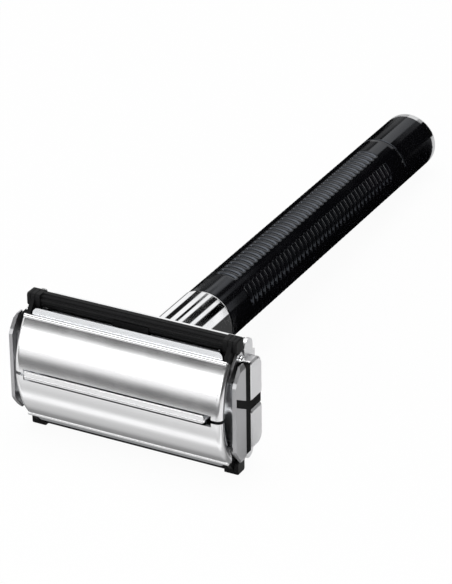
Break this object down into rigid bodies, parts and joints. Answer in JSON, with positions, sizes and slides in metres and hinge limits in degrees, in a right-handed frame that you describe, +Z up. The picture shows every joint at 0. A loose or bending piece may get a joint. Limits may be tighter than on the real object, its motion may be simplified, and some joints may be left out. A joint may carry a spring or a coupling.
{
  "type": "double-edge safety razor",
  "caption": "Safety razor with a chrome head whose two curved doors open when the knob at the end of its black ribbed handle is turned.",
  "frame": {"origin": "centre of the base of the box round the razor as it lies on its lower guard and its knob", "axes": "+X along the head, +Y from the head towards the knob, +Z up; the handle axis falls about four degrees towards the knob"},
  "size_m": [0.0446, 0.119, 0.0261],
  "materials": {
    "door_steel": "brushed bright steel, drawn along the head",
    "satin_steel": "satin, bead blasted",
    "chrome": "mirror chrome plate",
    "works_steel": "turned steel, plain",
    "blade_steel": "ground stainless strip",
    "guard_black": "moulded, matte charcoal",
    "grip_black": "gloss black",
    "brass": "turned brass"
  },
  "bodies": {
    "frame": {"barrel_tube": "works_steel", "base_plate": "chrome", "blade": "blade_steel", "blade_platform": "works_steel", "blade_studs": "works_steel", "centre_bar": "chrome", "end_blocks_left": "satin_steel", "end_blocks_right": "satin_steel", "end_cap_left": "satin_steel", "end_cap_right": "satin_steel", "end_plate_left": "satin_steel", "end_plate_right": "satin_steel", "end_rivets_left": "chrome", "end_rivets_right": "chrome", "end_seal_left": "guard_black", "end_seal_right": "guard_black", "friction_washer": "works_steel", "grip_sleeve": "grip_black", "guard_lower": "guard_black", "guard_rivets_lower": "chrome", "guard_rivets_upper": "chrome", "guard_upper": "guard_black", "hinge_pins_lower": "works_steel", "hinge_pins_upper": "works_steel", "neck_collar": "chrome", "neck_flange": "chrome", "pin_caps_lower": "guard_black", "pin_caps_upper": "guard_black", "platform_pillars": "works_steel", "retaining_ring": "works_steel"},
    "knob": {"knob_sleeve": "grip_black", "thread_insert": "brass", "knob_end_cap": "chrome"},
    "lifter": {"lifter_plate": "works_steel", "lifter_rod": "works_steel", "rod_head": "works_steel", "drive_pins": "works_steel"},
    "upper_door": {"door_upper": "door_steel", "door_arms_upper": "guard_black"},
    "lower_door": {"door_lower": "door_steel", "door_arms_lower": "guard_black"}
  },
  "joints": [
    {"name": "knob_turn", "type": "hinge", "parent": "frame", "child": "knob", "pos_m": [0, -0.05482, 0.01321], "axis": [0, -0.9978, 0.0667], "range_deg": [0, 540]},
    {"name": "lifter_slide", "type": "slide", "parent": "frame", "child": "lifter", "axis": [0, -0.9978, 0.0667], "range_m": [0, 0.003]},
    {"name": "door_upper_swing", "type": "hinge", "parent": "frame", "child": "upper_door", "pos_m": [0, -0.05153, 0.02502], "axis": [-1, 0, 0], "range_deg": [0, 55]},
    {"name": "door_lower_swing", "type": "hinge", "parent": "frame", "child": "lower_door", "pos_m": [0, -0.05313, 0.00107], "axis": [1, 0, 0], "range_deg": [0, 55]}
  ],
  "couplings": [
    {"joint": "knob_turn", "follows": "lifter_slide", "rad_per_m": 3141.6},
    {"joint": "door_upper_swing", "follows": "lifter_slide", "rad_per_m": 319.98},
    {"joint": "door_lower_swing", "follows": "lifter_slide", "rad_per_m": 319.98}
  ]
}
